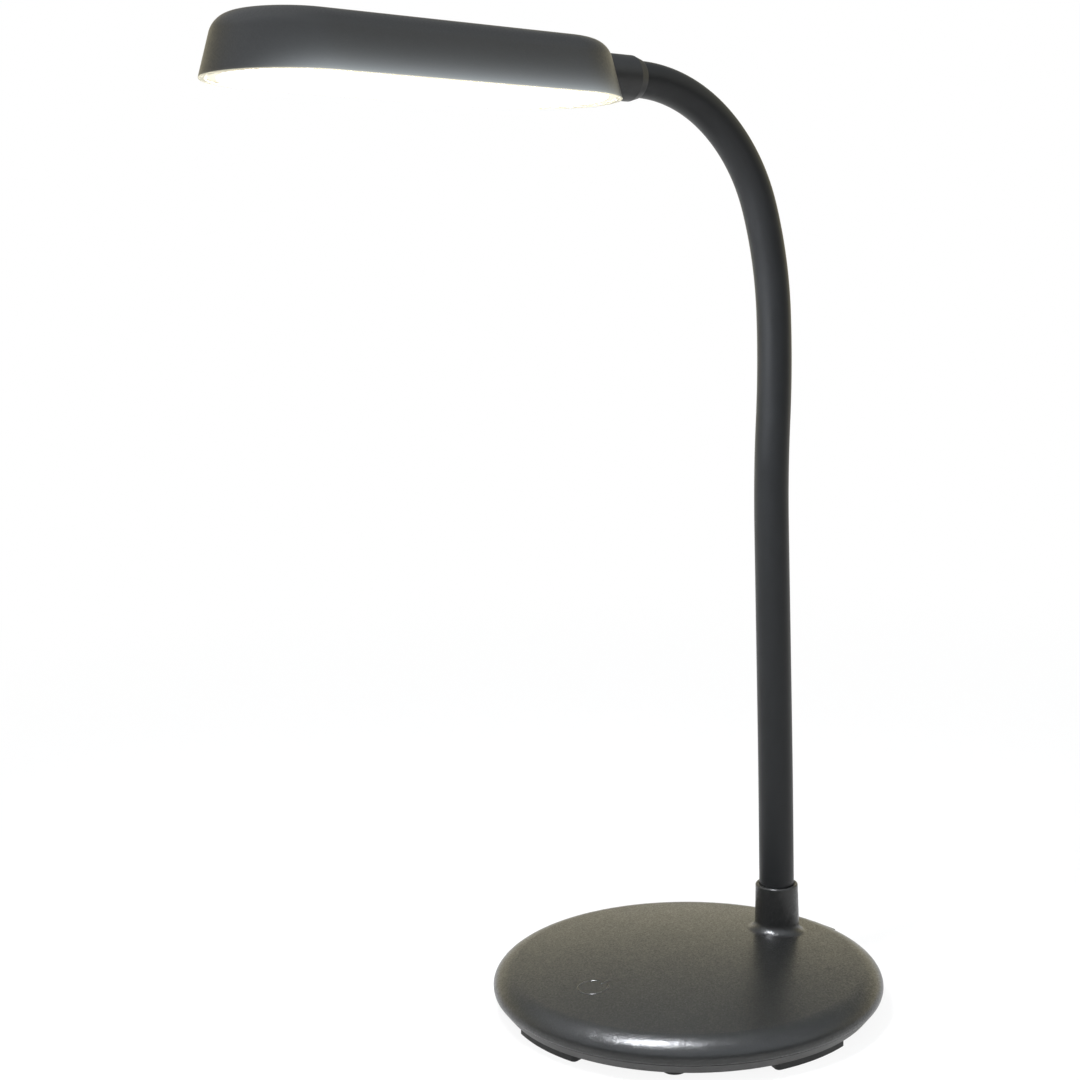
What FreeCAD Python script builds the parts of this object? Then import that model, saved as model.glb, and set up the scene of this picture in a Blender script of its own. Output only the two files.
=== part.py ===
# Gooseneck desk lamp: domed base, bendable neck, long edge-lit head.
# Millimetres. The origin is the centre of the base on the table, +Z is up. The neck stands
# at +X and the head reaches towards -X. The lamp is symmetric about the XZ plane.
import FreeCAD, Part
import math
import os
from FreeCAD import Vector

# Fits shared by all pieces
clearance = 0.15
thread_clearance = 0.05
slot_depth = 0.6

# Base covers
base_r = 77.5
rim_z = 9.2
dome_top_z = 19.8
shoulder_w = 8.5
shoulder_z = 15.9
seam_z = 7.2
seam_inset = 0.6
seam_gap = 0.25
bottom_inset = 3.9
cover_wall = 2.2
floor_t = 1.6
lip_t = 1.2
lip_rise = 1.6

# Rubber feet
foot_h = 3.0
arc_foot_inset = 1.2
arc_foot_w = 5.5
arc_foot_deg = 28.0
arc_foot_end_r = 1.6
round_foot_r = 4.5
foot_plug_h = 0.4

# Round land for a self-adhesive pad in the middle of the underside
pad_seat_r = 26.0
pad_seat_rise = 0.8

# Cover posts and screws, one under each round foot
post_edge_gap = 13.0
post_r = 3.2
post_seat_r = 4.2
screw_r = 1.25
screw_head_r = 2.6
screw_head_h = 2.0
screw_bite = 5.5

# Ballast plate, hung from bosses under the dome
ballast_edge_gap = 17.5
ballast_t = 4.0
ballast_gap = 1.8
boss_ring_r = 30.0
boss_r = 4.0
boss_angles = (100.0, 180.0, 260.0)
ballast_screw_bite = 3.0

# Collar for the neck
neck_edge_gap = 27.85
collar_top_z = 37.6
collar_top_r = 8.7
collar_foot_r = 9.2
collar_fillet = 3.6
collar_lip_round = 0.7
collar_land = 0.6
collar_flange_w = 2.0
collar_flange_t = 1.0

# Angles of the closing lines of the turned base and collar surfaces, kept apart from each other
base_closing_deg = 150.0
collar_closing_deg = 120.0

# Touch symbol, an engraved ring with a dash, and its sensor pad
symbol_edge_gap = 30.0
symbol_r = 6.2
symbol_line = 0.7
symbol_depth = 0.35
symbol_gap_deg = 46.0
symbol_dash = 5.0
touch_pad_r = 6.0
touch_pad_t = 0.5
touch_lead_r = 0.6

# Power inlet
jack_w = 12.6
jack_l = 14.0
jack_top_z = 12.6
jack_face_inset = 0.35
inlet_r = 3.6
inlet_depth = 3.0
barrel_r = 2.9
barrel_depth = 9.5
jack_pin_r = 1.0
jack_pin_gap = 1.5
contact_t = 0.4
contact_w = 2.0

# Control board
board_l = 34.0
board_w = 30.0
board_t = 1.2
board_gap = 0.8
board_neck_gap = 12.5
board_hole_inset = 3.0
board_post_r = 2.0
board_screw_r = 0.9
board_screw_head_r = 1.7
board_screw_head_h = 0.9
chip_h = 1.4
driver_w = 5.0
dimmer_l = 6.0
dimmer_w = 4.0
coil_r = 3.0
capacitor_r = 1.6
capacitor_pitch = 5.0

# Neck: nine lengths of sleeve, steel core and lead between eight bending points
neck_foot_r = 7.15
neck_head_r = 6.65
core_r = 4.0
lead_r = 1.4
ferrule_r = 6.6
ferrule_cup_l = 10.0
ferrule_floor = 1.0
thread_r = 4.0
washer_t = 0.8
washer_r = 7.0
nut_t = 3.0
nut_corner_r = 6.9
first_bend_z = 62.0
neck_pitch = 42.0
last_length = 38.8
neck_turns = (0.0, 0.5, 0.1, -0.1, -4.7, 6.2, 15.6, 35.3, 35.35)
ball_gap = 0.3
tilt_deg = 24.0

# Head, in its own frame: x along the head from the neck's end, z up from the neck's axis
head_l = 157.8
head_half_w = 30.1
head_h = 20.6
head_rear_x = 15.8
head_rim_z = -10.4
head_top_round = 8.5
head_draft_inset = 5.4
head_wall = 2.2
socket_x = 1.0
socket_r = 8.3
socket_nose_r = 7.2
socket_nose_l = 3.5
sleeve_seat = 9.0
spigot_r = 4.9
spigot_past_clamp = 8.0
end_ferrule_l = 6.0
end_ferrule_r = 5.2
clamp_inset = 13.2
clamp_l = 9.0
clamp_half_w = 12.0
clamp_screw_y = 8.8
clamp_screw_r = 1.0
clamp_screw_head_r = 1.9
clamp_screw_head_h = 1.2
clamp_boss_r = 2.6
clamp_rise = 0.6
clamp_strap_t = 0.7
clamp_ear_t = 1.6

# Light unit, stacked up from the mouth of the head
diffuser_recess = 0.5
diffuser_t = 1.2
guide_t = 2.0
reflector_t = 0.2
plate_t = 0.8
strip_t = 0.8
led_depth = 0.9
led_l = 2.8
led_pitch = 5.6
plate_screw_x = (66.0, 140.0)
plate_screw_y = 14.0
plate_screw_r = 0.9
plate_screw_head_r = 1.7
plate_screw_bite = 5.0
plate_boss_r = 2.8
connector_l = 8.0
connector_w = 8.0
connector_h = 7.0
connector_gap = 6.0

# Heights and places that follow from the sizes above
up = Vector(0, 0, 1)
shoulder_r = base_r - shoulder_w
bottom_r = base_r - bottom_inset
arc_foot_r = bottom_r - arc_foot_inset
post_ring_r = base_r - post_edge_gap
ballast_r = base_r - ballast_edge_gap
neck_x = base_r - neck_edge_gap
symbol_x = symbol_edge_gap - base_r
floor_top_z = foot_h + floor_t
seam_r = base_r - seam_inset
far = 2 * base_r
last = len(neck_turns) - 1
clamp_x = head_rear_x + clamp_inset
spigot_l = clamp_x + spigot_past_clamp
taper_in = (bottom_r - seam_r) / (foot_h - seam_z)


def cylinder(r, z0, z1, x=0.0, y=0.0):
    return Part.makeCylinder(r, z1 - z0, Vector(x, y, z0), up)


def box(x0, x1, y0, y1, z0, z1):
    return Part.makeBox(x1 - x0, y1 - y0, z1 - z0, Vector(x0, y0, z0))


def on_circle(r, deg):
    return r * math.cos(math.radians(deg)), r * math.sin(math.radians(deg))


def turned(solid, deg, x):
    moved = solid.copy()
    moved.rotate(Vector(x, 0, 0), up, deg)
    return moved


def joined(shapes):
    return shapes[0].multiFuse(shapes[1:]) if len(shapes) > 1 else shapes[0]


def bezier(points):
    curve = Part.BezierCurve()
    curve.setPoles([Vector(r, 0, z) for r, z in points])
    return curve.toShape()


def line(r0, z0, r1, z1):
    return Part.makeLine(Vector(r0, 0, z0), Vector(r1, 0, z1))


# Base body: a shallow crown, a rounded edge, and a taper under the rim

def crown_sagitta(edge_r):
    sag = dome_top_z - shoulder_z
    return (edge_r ** 2 + sag ** 2) / (2 * sag)


def dome_z(r):
    ball = crown_sagitta(shoulder_r)
    return dome_top_z - (ball - math.sqrt(ball ** 2 - r ** 2))


def side_r(z, inset):
    return seam_r - inset + taper_in * (z - seam_z)


def base_body(inset, low_z):
    rim_r = base_r - inset
    edge_r = shoulder_r - inset / 2
    edge_z = shoulder_z - inset
    ball = crown_sagitta(edge_r)
    slope = math.asin(edge_r / ball)
    half_z = dome_top_z - inset - (ball - math.sqrt(ball ** 2 - (edge_r / 2) ** 2))
    crown = Part.Arc(Vector(0, 0, dome_top_z - inset), Vector(edge_r / 2, 0, half_z),
                     Vector(edge_r, 0, edge_z)).toShape()
    reach = (rim_r - edge_r) / 2
    rise = (edge_z - rim_z) / 2
    shoulder = bezier([(edge_r, edge_z),
                       (edge_r + reach * math.cos(slope), edge_z - reach * math.sin(slope)),
                       (rim_r, rim_z + rise),
                       (rim_r, rim_z)])
    drop = (rim_z - seam_z) / 3
    under = bezier([(rim_r, rim_z),
                    (rim_r, rim_z - drop),
                    (side_r(seam_z + drop, inset), seam_z + drop),
                    (side_r(seam_z, inset), seam_z)])
    side = line(side_r(seam_z, inset), seam_z, side_r(low_z, inset), low_z)
    floor = line(side_r(low_z, inset), low_z, 0, low_z)
    axis = line(0, low_z, 0, dome_top_z - inset)
    face = Part.Face(Part.Wire([crown, shoulder, under, side, floor, axis]))
    return turned(face.revolve(Vector(0, 0, 0), up, 360), base_closing_deg, 0)


outer = base_body(0.0, foot_h)
cavity = base_body(cover_wall, floor_top_z)
above_seam = cylinder(far, seam_z, far)
below_seam = cylinder(far, 0, seam_z - seam_gap)

post_spots = [on_circle(post_ring_r, 45.0 + 90.0 * i) for i in range(4)]
boss_spots = [on_circle(boss_ring_r, a) for a in boss_angles]

ballast_top_z = shoulder_z - cover_wall - ballast_gap / 2
ballast_low_z = ballast_top_z - ballast_t
jack_x1 = base_r - jack_face_inset
jack_x0 = jack_x1 - jack_l
jack_z = (floor_top_z + jack_top_z) / 2
board_x1 = neck_x - board_neck_gap
board_x0 = board_x1 - board_l
board_low_z = floor_top_z + board_gap
board_top_z = board_low_z + board_t


def jack_notch():
    side = jack_w / 2 + clearance
    return box(jack_x0 - clearance, far, -side, side, floor_top_z, jack_top_z + clearance)


def round_edges(solid, picked, radius):
    return solid.makeFillet(radius, picked)


def collar_edges(solid, z, spread):
    found = []
    for edge in solid.Edges:
        b = edge.BoundBox
        near = abs((b.XMin + b.XMax) / 2 - neck_x) < 1 and b.XLength < 3 * collar_foot_r
        if near and b.YLength > collar_top_r and abs((b.ZMin + b.ZMax) / 2 - z) < spread:
            found.append(edge)
    return found


def symbol_cut():
    low = dome_z(-symbol_x) - cover_wall
    ring = cylinder(symbol_r, low, far, symbol_x)
    ring = ring.cut(cylinder(symbol_r - symbol_line, low, far, symbol_x))
    half = math.radians(symbol_gap_deg / 2)
    reach = 2 * symbol_r
    tip = Vector(symbol_x, 0, low)
    wide = reach * math.tan(half)
    gap = Part.Face(Part.makePolygon([tip, tip + Vector(reach, -wide, 0), tip + Vector(reach, wide, 0), tip]))
    ring = ring.cut(gap.extrude(Vector(0, 0, far)))
    dash_x = symbol_x + symbol_r - symbol_dash / 2
    dash = box(dash_x, dash_x + symbol_dash, -symbol_line / 2, symbol_line / 2, low, far)
    skin = outer.cut(outer.translated(Vector(0, 0, -symbol_depth)))
    return ring.fuse(dash).common(skin)


def collar_plug_r():
    return collar_foot_r + collar_fillet + collar_land


# The top of the base with its collar in one; the cover and the collar are then cut from it

def base_top():
    foot_z = dome_z(neck_x) - cover_wall / 2
    collar = Part.makeCone(collar_foot_r, collar_top_r, collar_top_z - foot_z, Vector(neck_x, 0, foot_z), up)
    top = outer.common(above_seam).fuse(turned(collar, collar_closing_deg, neck_x))
    top = round_edges(top, collar_edges(top, dome_z(neck_x), collar_fillet), collar_fillet)
    top = round_edges(top, collar_edges(top, collar_top_z, clearance), collar_lip_round)
    return top.cut(cavity)


top_shape = base_top()


def base_top_cover():
    posts = [cylinder(post_r, seam_z, far, x, y).common(outer) for x, y in post_spots]
    bosses = [cylinder(boss_r, ballast_top_z, far, x, y).common(outer) for x, y in boss_spots]
    shell = joined([top_shape.cut(cylinder(collar_plug_r(), 0, far, neck_x))] + posts + bosses)
    cuts = [symbol_cut(), jack_notch()]
    cuts += [cylinder(screw_r, 0, seam_z + screw_bite, x, y) for x, y in post_spots]
    cuts += [cylinder(screw_r, 0, ballast_top_z + ballast_screw_bite, x, y) for x, y in boss_spots]
    return shell.cut(joined(cuts))


def neck_collar():
    plug = top_shape.common(cylinder(collar_plug_r(), 0, far, neck_x))
    flange = cylinder(collar_plug_r() + collar_flange_w, ballast_top_z, far, neck_x).common(cavity)
    flange = flange.cut(cavity.translated(Vector(0, 0, -collar_flange_t)))
    return plug.fuse(flange).cut(cylinder(neck_foot_r + 2 * clearance, 0, far, neck_x))


def board_spots():
    d = board_hole_inset
    side = board_w / 2 - d
    return [(x, y) for x in (board_x0 + d, board_x1 - d) for y in (-side, side)]


def base_bottom_cover():
    shell = outer.cut(cavity).common(below_seam)
    lip_r = side_r(seam_z, cover_wall) - clearance
    lip = cylinder(lip_r, floor_top_z - floor_t / 2, seam_z + lip_rise)
    lip = lip.cut(cylinder(lip_r - lip_t, 0, far)).common(outer)
    posts = [cylinder(post_seat_r, foot_h, seam_z, x, y) for x, y in post_spots]
    posts += [cylinder(board_post_r, foot_h, board_low_z, x, y) for x, y in board_spots()]
    land = cylinder(pad_seat_r, foot_h - pad_seat_rise, foot_h + floor_t / 2)
    shell = joined([shell, lip, land] + posts)
    seat_z = foot_h + foot_plug_h + screw_head_h
    cuts = [cylinder(screw_head_r + clearance, 0, seat_z, x, y) for x, y in post_spots]
    cuts += [cylinder(screw_r + clearance, 0, far, x, y) for x, y in post_spots]
    cuts += [cylinder(board_screw_r, floor_top_z, far, x, y) for x, y in board_spots()]
    return shell.cut(joined(cuts + [jack_notch()]))


# Screw with a slotted head, pointing up

def screw(x, y, head_z, r, head_r, head_h, length):
    head = cylinder(head_r, head_z, head_z + head_h, x, y)
    slot = box(x - head_r, x + head_r, y - r / 3, y + r / 3, head_z, head_z + slot_depth)
    return head.cut(slot).fuse(cylinder(r, head_z + head_h, head_z + head_h + length, x, y))


def cover_screws():
    seat_z = foot_h + foot_plug_h + screw_head_h
    length = seam_z + screw_bite - clearance - seat_z
    low = foot_h + foot_plug_h
    return [screw(x, y, low, screw_r, screw_head_r, screw_head_h, length) for x, y in post_spots]


def ballast_screws():
    length = ballast_t + ballast_screw_bite - clearance
    head_h = screw_head_h - clearance
    low = ballast_low_z - head_h
    return [screw(x, y, low, screw_r, screw_head_r, head_h, length) for x, y in boss_spots]


def arc_feet():
    ring = cylinder(arc_foot_r, 0, foot_h).cut(cylinder(arc_foot_r - arc_foot_w, 0, foot_h))
    feet = []
    for i in range(4):
        a = math.radians(90.0 * i)
        half = math.radians(arc_foot_deg / 2)
        reach = 2 * base_r
        tips = [Vector(0, 0, 0)]
        tips += [Vector(reach * math.cos(a + s), reach * math.sin(a + s), 0) for s in (-half, half)]
        wedge = Part.Face(Part.makePolygon(tips + tips[:1])).extrude(Vector(0, 0, foot_h))
        foot = ring.common(wedge)
        upright = [e for e in foot.Edges if e.BoundBox.ZLength > foot_h / 2]
        feet.append(foot.makeFillet(arc_foot_end_r, upright))
    return feet


def round_feet():
    feet = []
    for x, y in post_spots:
        pad = cylinder(round_foot_r, 0, foot_h, x, y)
        feet.append(pad.fuse(cylinder(screw_head_r, foot_h, foot_h + foot_plug_h, x, y)))
    return feet


def ballast_plate():
    plate = cylinder(ballast_r, ballast_low_z, ballast_top_z)
    cuts = [cylinder(thread_r + thread_clearance, 0, far, neck_x)]
    cuts += [cylinder(screw_r + clearance, 0, far, x, y) for x, y in boss_spots]
    cuts += [cylinder(touch_pad_r + touch_pad_t, 0, far, symbol_x)]
    return plate.cut(joined(cuts))


# Neck end fitting in the base: threaded through the plate, locked by a nut on top of it

nut_top_z = ballast_top_z + washer_t + nut_t
cup_top_z = nut_top_z + ferrule_cup_l
core_foot_z = nut_top_z + ferrule_floor


def neck_base_ferrule():
    stud = cylinder(thread_r, ballast_low_z, nut_top_z, neck_x)
    body = stud.fuse(cylinder(ferrule_r, nut_top_z, cup_top_z, neck_x))
    body = body.cut(cylinder(core_r + thread_clearance, core_foot_z, cup_top_z, neck_x))
    return body.cut(cylinder(lead_r + clearance, ballast_low_z, cup_top_z, neck_x))


def neck_washer():
    low = ballast_top_z
    ring = cylinder(washer_r, low, low + washer_t, neck_x)
    return ring.cut(cylinder(thread_r + thread_clearance, low, low + washer_t, neck_x))


def neck_nut():
    low = ballast_top_z + washer_t
    corners = [on_circle(nut_corner_r, 60.0 * i) for i in range(6)]
    rim = [Vector(neck_x + x, y, low) for x, y in corners]
    hexagon = Part.Face(Part.makePolygon(rim + rim[:1])).extrude(Vector(0, 0, nut_t))
    return hexagon.cut(cylinder(thread_r + thread_clearance, low, nut_top_z, neck_x))


# Power inlet: a block in a notch of both covers, with a plug recess, a barrel hole and a pin

def along_x(r, x0, x1, y, z):
    return Part.makeCylinder(r, x1 - x0, Vector(x0, y, z), Vector(1, 0, 0))


barrel_x1 = jack_x1 - inlet_depth
barrel_x0 = barrel_x1 - barrel_depth


def dc_jack_contact():
    half = contact_w / 2
    high = jack_z + barrel_r
    return box(barrel_x0 - contact_t, barrel_x1 - jack_pin_gap, -half, half, high - contact_t, high)


def dc_jack_housing():
    block = box(jack_x0, jack_x1, -jack_w / 2, jack_w / 2, floor_top_z, jack_top_z)
    recess = along_x(inlet_r, barrel_x1, jack_x1, 0, jack_z)
    hole = along_x(barrel_r, barrel_x0, jack_x1, 0, jack_z)
    pin_hole = along_x(jack_pin_r, jack_x0, barrel_x0, 0, jack_z)
    return block.cut(joined([recess, hole, pin_hole, dc_jack_contact()]))


def dc_jack_pin():
    return along_x(jack_pin_r, jack_x0, barrel_x1 - jack_pin_gap, 0, jack_z)


# Control board and what is on it

def control_board():
    half = board_w / 2
    board = box(board_x0, board_x1, -half, half, board_low_z, board_top_z)
    holes = [cylinder(board_screw_r + thread_clearance, 0, far, x, y) for x, y in board_spots()]
    return board.cut(joined(holes))


def board_chips():
    top = board_top_z + chip_h
    mid = (board_x0 + board_x1) / 2
    behind = mid - capacitor_pitch
    ahead = mid + capacitor_pitch
    driver = box(behind - driver_w / 2, behind + driver_w / 2, -driver_w / 2, driver_w / 2, board_top_z, top)
    dimmer = box(ahead - dimmer_l / 2, ahead + dimmer_l / 2, coil_r, coil_r + dimmer_w, board_top_z, top)
    coil = cylinder(coil_r, board_top_z, top, ahead, -2 * coil_r)
    row_y = -board_w / 3
    spots = [behind + capacitor_pitch * i for i in (-1, 0, 1)]
    capacitors = [cylinder(capacitor_r, board_top_z, top, x, row_y) for x in spots]
    return [driver, dimmer, coil] + capacitors


def board_screws():
    screws = []
    for x, y in board_spots():
        head = cylinder(board_screw_head_r, board_top_z, board_top_z + board_screw_head_h, x, y)
        screws.append(head.fuse(cylinder(board_screw_r, floor_top_z, board_top_z, x, y)))
    return screws


# Round lead along straight runs with tangent arcs at the corners

def lead_path(points, bend):
    edges = []
    start = points[0]
    for a, b, c in zip(points, points[1:], points[2:]):
        back = (a - b).normalize()
        ahead = (c - b).normalize()
        half = back.getAngle(ahead) / 2
        cut = bend / math.tan(half)
        p = b + back * cut
        q = b + ahead * cut
        middle = (back + ahead).normalize()
        centre = b + middle * (bend / math.sin(half))
        edges.append(Part.makeLine(start, p))
        edges.append(Part.Arc(p, centre - middle * bend, q).toShape())
        start = q
    edges.append(Part.makeLine(start, points[-1]))
    return Part.Wire(edges)


def lead(points, bend, r):
    path = lead_path(points, bend)
    ring = Part.Wire(Part.makeCircle(r, points[0], points[1] - points[0]))
    return path.makePipeShell([ring], True, False)


def touch_pad():
    low = dome_z(-symbol_x) - 2 * cover_wall
    disc = cylinder(touch_pad_r, low, dome_top_z, symbol_x).common(cavity)
    return disc.cut(cavity.translated(Vector(0, 0, -touch_pad_t)))


def touch_lead():
    top = dome_z(-symbol_x) - cover_wall - touch_pad_t - clearance
    low = board_low_z + board_t / 2
    points = [Vector(symbol_x, 0, top), Vector(symbol_x, 0, low), Vector(board_x0, 0, low)]
    return lead(points, 5 * touch_lead_r, touch_lead_r)


def jack_lead():
    z = board_low_z + board_t / 2
    y0 = jack_w / 4
    y1 = nut_corner_r + 3 * lead_r
    gap = jack_x0 - (neck_x + nut_corner_r)
    points = [Vector(jack_x0, y0, z), Vector(jack_x0 - gap / 2, y0, z)]
    points += [Vector(neck_x, y1, z), Vector(board_x1, y1, z)]
    return lead(points, 2 * lead_r, lead_r / 2)


# Neck lengths: arcs of constant curvature that run into each other without a kink.
# A tangent angle is measured from straight up towards -X.

def tangent(deg):
    a = math.radians(deg)
    return Vector(-math.sin(a), 0, math.cos(a))


def outward(deg):
    a = math.radians(deg)
    return Vector(math.cos(a), 0, math.sin(a))


def advance(point, deg, turn, length):
    if turn == 0:
        return point + tangent(deg) * length
    radius = length / math.radians(turn)
    centre = point - outward(deg) * radius
    return centre + outward(deg + turn) * radius


neck_lengths = [first_bend_z - core_foot_z] + [neck_pitch] * (last - 1) + [last_length]
neck_starts = [Vector(neck_x, 0, core_foot_z)]
neck_angles = [0.0]
for piece_length, piece_turn in zip(neck_lengths, neck_turns):
    neck_starts.append(advance(neck_starts[-1], neck_angles[-1], piece_turn, piece_length))
    neck_angles.append(neck_angles[-1] + piece_turn)
head_point = neck_starts[-1]
head_angle = neck_angles[-1]


def neck_r(i):
    return neck_foot_r + (neck_head_r - neck_foot_r) * i / last


def rod(i, s0, s1, r):
    length = neck_lengths[i]
    rate = neck_turns[i] / length
    p = advance(neck_starts[i], neck_angles[i], rate * s0, s0)
    deg = neck_angles[i] + rate * s0
    disc = Part.Face(Part.Wire(Part.makeCircle(r, p, tangent(deg))))
    if rate == 0:
        return disc.extrude(tangent(deg) * (s1 - s0))
    centre = p - outward(deg) * (1 / math.radians(rate))
    return disc.revolve(centre, Vector(0, -1, 0), rate * (s1 - s0))


def tail(i, x1, r):
    return [head_placed(along_x(r, 0, x1, 0, 0))] if i == last else []


inner_gap = core_r * math.tan(math.radians(tilt_deg / 2)) + thread_clearance


def neck_core(i):
    s0 = inner_gap if i else 0.0
    s1 = neck_lengths[i] - (inner_gap if i < last else 0.0)
    body = joined([rod(i, s0, s1, core_r)] + tail(i, spigot_l + end_ferrule_l, core_r))
    bore = joined([rod(i, s0, s1, lead_r)] + tail(i, spigot_l + end_ferrule_l, lead_r))
    return body.cut(bore)


def neck_lead(i):
    s0 = inner_gap if i else 0.0
    s1 = neck_lengths[i] - (inner_gap if i < last else 0.0)
    body = joined([rod(i, s0, s1, lead_r)] + tail(i, connector_x, lead_r))
    return body if i else body.fuse(foot_lead())


def foot_lead():
    bend = 2 * lead_r
    z = board_low_z + board_t / 2
    points = [Vector(neck_x, 0, core_foot_z), Vector(neck_x, 0, z), Vector(board_x1, 0, z)]
    return lead(points, bend, lead_r)


def neck_ball(i):
    r = neck_r(i)
    pivot = neck_starts[i + 1]
    along = tangent(neck_angles[i + 1])
    return Part.makeSphere(r, pivot, along, 0, 90, 360)


def neck_flare(i):
    a = math.radians(tilt_deg)
    pivot = neck_starts[i + 1]
    along = tangent(neck_angles[i + 1])
    wide = core_r / math.cos(a) + 2 * clearance
    low = wide - inner_gap * math.tan(a)
    reach = neck_r(i)
    high = wide + reach * math.tan(a)
    return Part.makeCone(low, high, reach + inner_gap, pivot - along * inner_gap, along)


def neck_sleeve(i):
    s0 = 0.0 if i else cup_top_z - core_foot_z
    s1 = neck_lengths[i]
    body = joined([rod(i, s0, s1, neck_r(i))] + tail(i, socket_x + sleeve_seat, neck_r(i)))
    bore = joined([rod(i, s0, s1, core_r + thread_clearance)]
                  + tail(i, socket_x + sleeve_seat, core_r + thread_clearance))
    if i < last:
        body = body.fuse(neck_ball(i)).cut(neck_flare(i))
    if i > 0:
        body = body.cut(Part.makeSphere(neck_r(i - 1) + ball_gap, neck_starts[i]))
    return body.cut(bore)


# Head pieces are built in the head's own frame and then placed at the end of the neck

def head_placed(shape):
    turned = FreeCAD.Rotation(tangent(head_angle), Vector(0, -1, 0), outward(head_angle), "ZXY")
    moved = shape.copy()
    moved.Placement = FreeCAD.Placement(head_point, turned).multiply(moved.Placement)
    return moved


head_front_x = head_rear_x + head_l
head_top_z = head_rim_z + head_h


def stadium(inset, z):
    r = head_half_w - inset
    x0 = head_rear_x + head_half_w
    x1 = head_front_x - head_half_w
    front = Part.Arc(Vector(x1, -r, z), Vector(x1 + r, 0, z), Vector(x1, r, z)).toShape()
    rear = Part.Arc(Vector(x0, r, z), Vector(x0 - r, 0, z), Vector(x0, -r, z)).toShape()
    left = Part.makeLine(Vector(x1, r, z), Vector(x0, r, z))
    right = Part.makeLine(Vector(x0, -r, z), Vector(x1, -r, z))
    return Part.Wire([front, left, rear, right])


def inset_at(z, inset):
    return inset + head_draft_inset * (z - head_rim_z) / head_h


def head_block(wall):
    top = head_top_z - wall
    block = Part.makeLoft([stadium(wall, head_rim_z), stadium(inset_at(top, wall), top)], True, True)
    rim = [e for e in block.Edges if e.BoundBox.ZMin > top - clearance]
    return round_edges(block, rim, head_top_round - wall)


def slab(inset, z0, z1):
    return Part.Face(stadium(inset, z0)).extrude(Vector(0, 0, z1 - z0))


diffuser_z = head_rim_z + diffuser_recess
guide_z = diffuser_z + diffuser_t
reflector_z = guide_z + guide_t
plate_z = reflector_z + reflector_t
plate_top_z = plate_z + plate_t
lining = inset_at(plate_top_z, head_wall) + clearance
guide_inset = lining + strip_t + led_depth
clamp_z = clamp_rise
strip_x0 = head_rear_x + head_half_w
strip_x1 = head_front_x - head_half_w
connector_x = spigot_l + end_ferrule_l + connector_gap
clamp_spots = [(clamp_x, y) for y in (-clamp_screw_y, clamp_screw_y)]
plate_spots = [(x, y) for x in plate_screw_x for y in (-plate_screw_y, plate_screw_y)]
head_outside = head_block(0.0)


def head_shell():
    shell = head_outside.cut(head_block(head_wall))
    bosses = [cylinder(clamp_boss_r, clamp_z, head_top_z, x, y) for x, y in clamp_spots]
    bosses += [cylinder(plate_boss_r, plate_top_z, head_top_z, x, y) for x, y in plate_spots]
    shell = joined([shell] + [b.common(head_outside) for b in bosses])
    cuts = [along_x(spigot_r + clearance, 0, clamp_x, 0, 0)]
    cuts += [cylinder(clamp_screw_r, head_rim_z, head_top_z - 2 * head_wall, x, y) for x, y in clamp_spots]
    bite_z = plate_top_z + plate_screw_bite
    cuts += [cylinder(plate_screw_r, head_rim_z, bite_z, x, y) for x, y in plate_spots]
    return shell.cut(joined(cuts))


def head_socket():
    nose = Part.makeCone(socket_nose_r, socket_r, socket_nose_l, Vector(socket_x, 0, 0), Vector(1, 0, 0))
    barrel = along_x(socket_r, socket_x + socket_nose_l, head_rear_x + head_half_w / 2, 0, 0)
    body = nose.fuse(barrel).cut(head_outside)
    body = body.fuse(along_x(spigot_r, socket_x + sleeve_seat, spigot_l, 0, 0))
    body = body.cut(along_x(neck_head_r + clearance, socket_x, socket_x + sleeve_seat, 0, 0))
    return body.cut(along_x(core_r + thread_clearance, 0, spigot_l, 0, 0))


def head_ferrule():
    ring = along_x(end_ferrule_r, spigot_l, spigot_l + end_ferrule_l, 0, 0)
    return ring.cut(along_x(core_r + thread_clearance, spigot_l, spigot_l + end_ferrule_l, 0, 0))


def neck_clamp():
    x0 = clamp_x - clamp_l / 2
    low = -spigot_r - clamp_strap_t
    strap = box(x0, x0 + clamp_l, -spigot_r - 2 * clamp_strap_t, spigot_r + 2 * clamp_strap_t, low, clamp_z)
    ears = box(x0, x0 + clamp_l, -clamp_half_w, clamp_half_w, clamp_z - clamp_ear_t, clamp_z)
    body = strap.fuse(ears)
    body = body.cut(along_x(spigot_r + thread_clearance, x0, x0 + clamp_l, 0, 0))
    body = body.cut(box(x0, x0 + clamp_l, -spigot_r, spigot_r, 0, clamp_z))
    holes = [cylinder(clamp_screw_r + thread_clearance, low, clamp_z, x, y) for x, y in clamp_spots]
    return body.cut(joined(holes))


def clamp_screws():
    seat_z = clamp_z - clamp_ear_t
    length = head_top_z - 2 * head_wall - clearance - seat_z
    low = seat_z - clamp_screw_head_h
    sizes = (clamp_screw_r, clamp_screw_head_r, clamp_screw_head_h, length)
    return [screw(x, y, low, *sizes) for x, y in clamp_spots]


def countersink(x, y, z0, z1, r0, r1):
    return Part.makeCone(r0, r1, z1 - z0, Vector(x, y, z0), up)


def back_plate():
    plate = slab(lining, plate_z, plate_top_z)
    holes = []
    for x, y in plate_spots:
        hole_r = plate_screw_r + thread_clearance
        holes.append(countersink(x, y, plate_z, plate_top_z, plate_screw_head_r, hole_r))
    return plate.cut(joined(holes))


def plate_screws():
    screws = []
    for x, y in plate_spots:
        head_r = plate_screw_head_r - thread_clearance
        head = countersink(x, y, plate_z, plate_top_z, head_r, plate_screw_r)
        length = plate_screw_bite - clearance
        screws.append(head.fuse(cylinder(plate_screw_r, plate_top_z, plate_top_z + length, x, y)))
    return screws


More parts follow.
